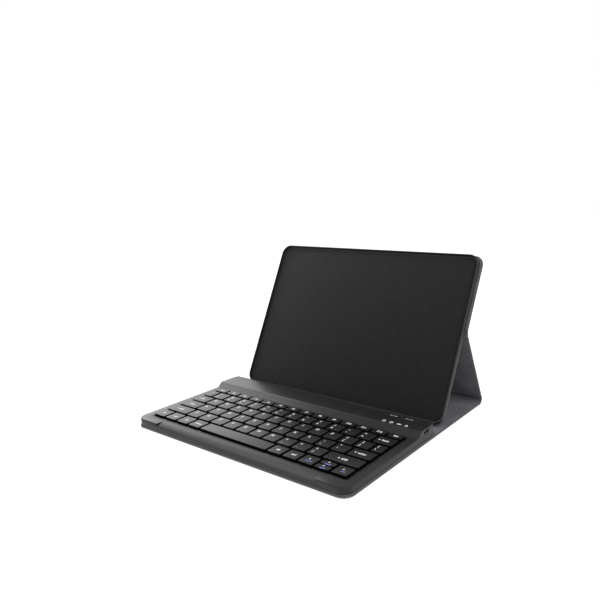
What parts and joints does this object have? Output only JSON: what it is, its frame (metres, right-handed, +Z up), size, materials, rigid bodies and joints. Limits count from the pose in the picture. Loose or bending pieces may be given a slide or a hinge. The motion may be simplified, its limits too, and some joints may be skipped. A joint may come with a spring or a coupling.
{
  "type": "tablet keyboard case",
  "caption": "Leather-look folio case for a ten-inch slate that folds into a stand, with a shallow device tray and a slim magnetic wireless keyboard.",
  "frame": {"origin": "centre of the front cover's underside, where the case stands on the desk", "axes": "+Z up from the desk, +X to the typist's right along the keyboard, +Y from the typist towards the spine"},
  "size_m": [0.252, 0.224, 0.1496],
  "materials": {
    "leather": "fine grained synthetic leather, matt",
    "board": "raw grey board, hidden",
    "lining": "short suede cloth",
    "tray_plastic": "satin moulded plastic",
    "tape": "foam tape, hidden",
    "case_plastic": "satin moulded plastic",
    "keycap": "fine textured plastic with printed legends",
    "steel": "plain rolled steel",
    "nickel": "nickel plated",
    "rubber": "soft matt",
    "film": "clear printed film, hidden",
    "cell": "foil pouch, hidden",
    "circuit": "lacquered, hidden",
    "light": "frosted clear"
  },
  "bodies": {
    "base": {"base_skin": "leather", "front_board": "board", "cover_steel_strips": "steel", "spine_board": "board", "strip_board": "board", "base_lining": "lining", "rear_fold_strip": "leather"},
    "stand": {"stand_skin": "leather", "stand_board": "board", "stand_lining": "lining", "back_fold_strip": "leather"},
    "back": {"back_skin": "leather", "back_board": "board", "back_lining": "lining", "tray": "tray_plastic", "tray_liner": "lining", "tray_tape": "tape"},
    "keyboard": {"keyboard_top_case": "case_plastic", "keyboard_bottom_case": "case_plastic", "case_screws": "steel", "rubber_feet": "rubber", "key_plate": "steel", "membrane": "film", "dome_mat": "rubber", "battery": "cell", "circuit_board": "circuit", "charge_port": "steel", "indicator_lights": "light", "keyboard_magnets": "nickel"},
    "switch": {"power_switch": "case_plastic"},
    "escape_key_body": {"escape_key": "keycap"},
    "function_keys_body": {"function_keys": "keycap"},
    "number_keys_body": {"number_keys": "keycap"},
    "backspace_key_body": {"backspace_key": "keycap"},
    "tab_key_body": {"tab_key": "keycap"},
    "upper_letter_keys_body": {"upper_letter_keys": "keycap"},
    "caps_lock_key_body": {"caps_lock_key": "keycap"},
    "home_letter_keys_body": {"home_letter_keys": "keycap"},
    "enter_key_body": {"enter_key": "keycap"},
    "left_shift_key_body": {"left_shift_key": "keycap"},
    "lower_letter_keys_body": {"lower_letter_keys": "keycap"},
    "right_shift_key_body": {"right_shift_key": "keycap"},
    "modifier_keys_body": {"modifier_keys": "keycap"},
    "space_bar_body": {"space_bar": "keycap"},
    "left_arrow_key_body": {"left_arrow_key": "keycap"},
    "up_arrow_key_body": {"up_arrow_key": "keycap"},
    "down_arrow_key_body": {"down_arrow_key": "keycap"},
    "right_arrow_key_body": {"right_arrow_key": "keycap"}
  },
  "joints": [
    {"name": "stand_fold", "type": "hinge", "parent": "base", "child": "stand", "pos_m": [0, 0.13585, 0.0008], "axis": [1, 0, 0], "range_deg": [-115.3, 0], "deforming": ["rear_fold_strip"]},
    {"name": "back_fold", "type": "hinge", "parent": "stand", "child": "back", "pos_m": [0, 0.09768, 0.08053], "axis": [1, 0, 0], "range_deg": [0, 52.73], "deforming": ["back_fold_strip"]},
    {"name": "keyboard_pull", "type": "slide", "parent": "base", "child": "keyboard", "axis": [0, -1, 0], "range_m": [0, 0.13]},
    {"name": "power_switch_slide", "type": "slide", "parent": "keyboard", "child": "switch", "axis": [0, 1, 0], "range_m": [0, 0.003]},
    {"name": "escape_key_press", "type": "slide", "parent": "keyboard", "child": "escape_key_body", "axis": [0, 0, -1], "range_m": [0, 0.0012], "stiffness_N_per_m": 300, "deforming": ["dome_mat"]},
    {"name": "function_keys_press", "type": "slide", "parent": "keyboard", "child": "function_keys_body", "axis": [0, 0, -1], "range_m": [0, 0.0012], "stiffness_N_per_m": 600, "deforming": ["dome_mat"]},
    {"name": "number_keys_press", "type": "slide", "parent": "keyboard", "child": "number_keys_body", "axis": [0, 0, -1], "range_m": [0, 0.0012], "stiffness_N_per_m": 600, "deforming": ["dome_mat"]},
    {"name": "backspace_key_press", "type": "slide", "parent": "keyboard", "child": "backspace_key_body", "axis": [0, 0, -1], "range_m": [0, 0.0012], "stiffness_N_per_m": 300, "deforming": ["dome_mat"]},
    {"name": "tab_key_press", "type": "slide", "parent": "keyboard", "child": "tab_key_body", "axis": [0, 0, -1], "range_m": [0, 0.0012], "stiffness_N_per_m": 300, "deforming": ["dome_mat"]},
    {"name": "upper_letter_keys_press", "type": "slide", "parent": "keyboard", "child": "upper_letter_keys_body", "axis": [0, 0, -1], "range_m": [0, 0.0012], "stiffness_N_per_m": 600, "deforming": ["dome_mat"]},
    {"name": "caps_lock_key_press", "type": "slide", "parent": "keyboard", "child": "caps_lock_key_body", "axis": [0, 0, -1], "range_m": [0, 0.0012], "stiffness_N_per_m": 300, "deforming": ["dome_mat"]},
    {"name": "home_letter_keys_press", "type": "slide", "parent": "keyboard", "child": "home_letter_keys_body", "axis": [0, 0, -1], "range_m": [0, 0.0012], "stiffness_N_per_m": 600, "deforming": ["dome_mat"]},
    {"name": "enter_key_press", "type": "slide", "parent": "keyboard", "child": "enter_key_body", "axis": [0, 0, -1], "range_m": [0, 0.0012], "stiffness_N_per_m": 300, "deforming": ["dome_mat"]},
    {"name": "left_shift_key_press", "type": "slide", "parent": "keyboard", "child": "left_shift_key_body", "axis": [0, 0, -1], "range_m": [0, 0.0012], "stiffness_N_per_m": 300, "deforming": ["dome_mat"]},
    {"name": "lower_letter_keys_press", "type": "slide", "parent": "keyboard", "child": "lower_letter_keys_body", "axis": [0, 0, -1], "range_m": [0, 0.0012], "stiffness_N_per_m": 600, "deforming": ["dome_mat"]},
    {"name": "right_shift_key_press", "type": "slide", "parent": "keyboard", "child": "right_shift_key_body", "axis": [0, 0, -1], "range_m": [0, 0.0012], "stiffness_N_per_m": 300, "deforming": ["dome_mat"]},
    {"name": "modifier_keys_press", "type": "slide", "parent": "keyboard", "child": "modifier_keys_body", "axis": [0, 0, -1], "range_m": [0, 0.0012], "stiffness_N_per_m": 600, "deforming": ["dome_mat"]},
    {"name": "space_bar_press", "type": "slide", "parent": "keyboard", "child": "space_bar_body", "axis": [0, 0, -1], "range_m": [0, 0.0012], "stiffness_N_per_m": 600, "deforming": ["dome_mat"]},
    {"name": "left_arrow_key_press", "type": "slide", "parent": "keyboard", "child": "left_arrow_key_body", "axis": [0, 0, -1], "range_m": [0, 0.0012], "stiffness_N_per_m": 300, "deforming": ["dome_mat"]},
    {"name": "up_arrow_key_press", "type": "slide", "parent": "keyboard", "child": "up_arrow_key_body", "axis": [0, 0, -1], "range_m": [0, 0.0012], "stiffness_N_per_m": 300, "deforming": ["dome_mat"]},
    {"name": "down_arrow_key_press", "type": "slide", "parent": "keyboard", "child": "down_arrow_key_body", "axis": [0, 0, -1], "range_m": [0, 0.0012], "stiffness_N_per_m": 300, "deforming": ["dome_mat"]},
    {"name": "right_arrow_key_press", "type": "slide", "parent": "keyboard", "child": "right_arrow_key_body", "axis": [0, 0, -1], "range_m": [0, 0.0012], "stiffness_N_per_m": 300, "deforming": ["dome_mat"]}
  ],
  "couplings": [
    {"joint": "back_fold", "follows": "stand_fold", "ratio": -0.45727}
  ]
}
